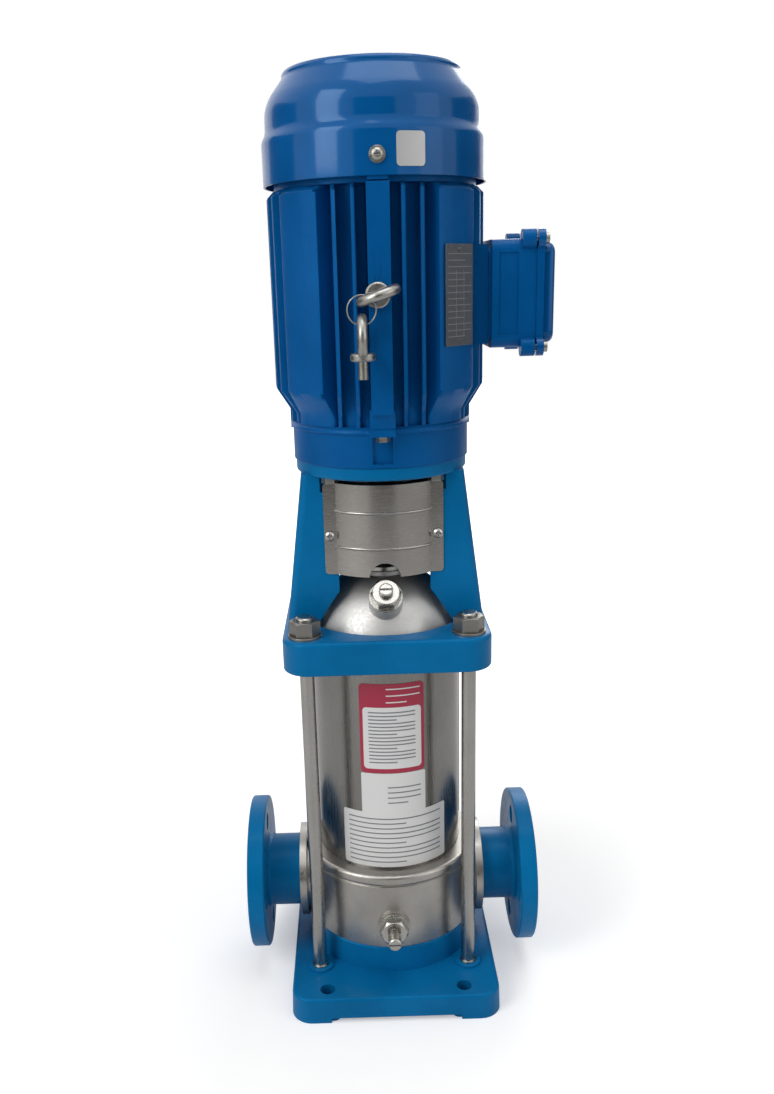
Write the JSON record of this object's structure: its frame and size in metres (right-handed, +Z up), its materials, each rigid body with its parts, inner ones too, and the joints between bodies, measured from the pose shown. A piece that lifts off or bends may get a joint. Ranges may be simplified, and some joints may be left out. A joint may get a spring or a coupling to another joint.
{
  "type": "vertical multistage centrifugal pump",
  "caption": "Upright in-line water pump with pipe flanges on both sides of a steel base casing, a steel sleeve between tie rods and a finned electric motor on a stool.",
  "frame": {"origin": "centre of the base plate's footprint, on the floor", "axes": "+Z up along the pump shaft, +X out of the discharge port, -Y towards the front with the priming and drain plugs"},
  "size_m": [0.287, 0.256, 0.832],
  "materials": {
    "blue_paint": "semi-gloss enamel over cast iron and sheet steel",
    "stainless": "brushed sheet stainless steel",
    "cast_stainless": "blasted cast stainless steel",
    "bright_steel": "machined bright steel",
    "zinc_steel": "zinc-plated steel",
    "dark_iron": "dark cast iron",
    "lamination_steel": "varnished electrical steel",
    "winding_copper": "enamelled copper wire",
    "rotor_aluminium": "cast aluminium cage in a steel core",
    "plate_aluminium": "satin aluminium plate",
    "black_rubber": "moulded rubber",
    "black_plastic": "moulded plastic"
  },
  "bodies": {
    "pump": {"base_plate": "blue_paint", "base_casing": "cast_stainless", "suction_flange": "blue_paint", "discharge_flange": "blue_paint", "drain_plug": "bright_steel", "priming_plug": "bright_steel", "pump_head": "cast_stainless", "outer_sleeve": "stainless", "sleeve_seals": "black_rubber", "tie_rods": "zinc_steel", "tie_rod_washers": "zinc_steel", "tie_rod_nuts": "zinc_steel", "motor_stool": "blue_paint", "front_guard": "stainless", "rear_guard": "stainless", "guard_screws": "bright_steel", "motor_flange_bolts": "zinc_steel", "stage_chambers": "stainless", "suction_interconnector": "stainless", "discharge_chamber": "stainless", "stack_straps": "stainless", "seal_seat": "bright_steel", "lower_end_shield": "blue_paint", "shield_screws": "zinc_steel", "stator_frame": "blue_paint", "stator_core": "lamination_steel", "stator_windings": "winding_copper", "bearing_outer_rings": "bright_steel", "bearing_balls": "bright_steel", "upper_end_shield": "blue_paint", "fan_cowl": "blue_paint", "cowl_screws": "zinc_steel", "terminal_box": "blue_paint", "terminal_gasket": "black_rubber", "terminal_box_lid": "blue_paint", "lid_screws": "zinc_steel", "terminal_block": "black_plastic", "cable_gland": "black_plastic", "blanking_plug": "black_plastic", "nameplate": "plate_aluminium", "lifting_eye": "zinc_steel"},
    "rotor": {"impellers": "stainless", "impeller_spacers": "stainless", "pump_shaft": "stainless", "shaft_nut": "stainless", "seal_rotary_head": "bright_steel", "coupling_half_front": "dark_iron", "coupling_half_rear": "dark_iron", "coupling_screws": "zinc_steel", "coupling_pin": "zinc_steel", "rotor_core": "rotor_aluminium", "motor_shaft": "bright_steel", "cooling_fan": "black_plastic", "fan_clip": "zinc_steel", "bearing_inner_rings": "bright_steel"},
    "wire_ring": {"wire_ring": "zinc_steel"},
    "spare_eye": {"spare_eye": "zinc_steel"},
    "vent_spindle": {"vent_spindle": "bright_steel"},
    "drain_spindle": {"drain_spindle": "bright_steel"}
  },
  "joints": [
    {"name": "rotor_spin", "type": "hinge", "parent": "pump", "child": "rotor", "pos_m": [0, 0, 0.45], "axis": [0, 0, 1], "continuous": true},
    {"name": "wire_ring_swing", "type": "hinge", "parent": "pump", "child": "wire_ring", "pos_m": [-0.01501, -0.1145, 0.65377], "axis": [0, 1, 0], "range_deg": [-20, 20]},
    {"name": "spare_eye_swing", "type": "hinge", "parent": "wire_ring", "child": "spare_eye", "pos_m": [-0.01501, -0.1145, 0.63652], "axis": [1, 0, 0], "range_deg": [-45, 5]},
    {"name": "vent_spindle_slide", "type": "slide", "parent": "pump", "child": "vent_spindle", "axis": [0, -0.7314, 0.682], "range_m": [0, 0.003]},
    {"name": "drain_spindle_slide", "type": "slide", "parent": "pump", "child": "drain_spindle", "axis": [0, -1, 0], "range_m": [0, 0.004]}
  ]
}
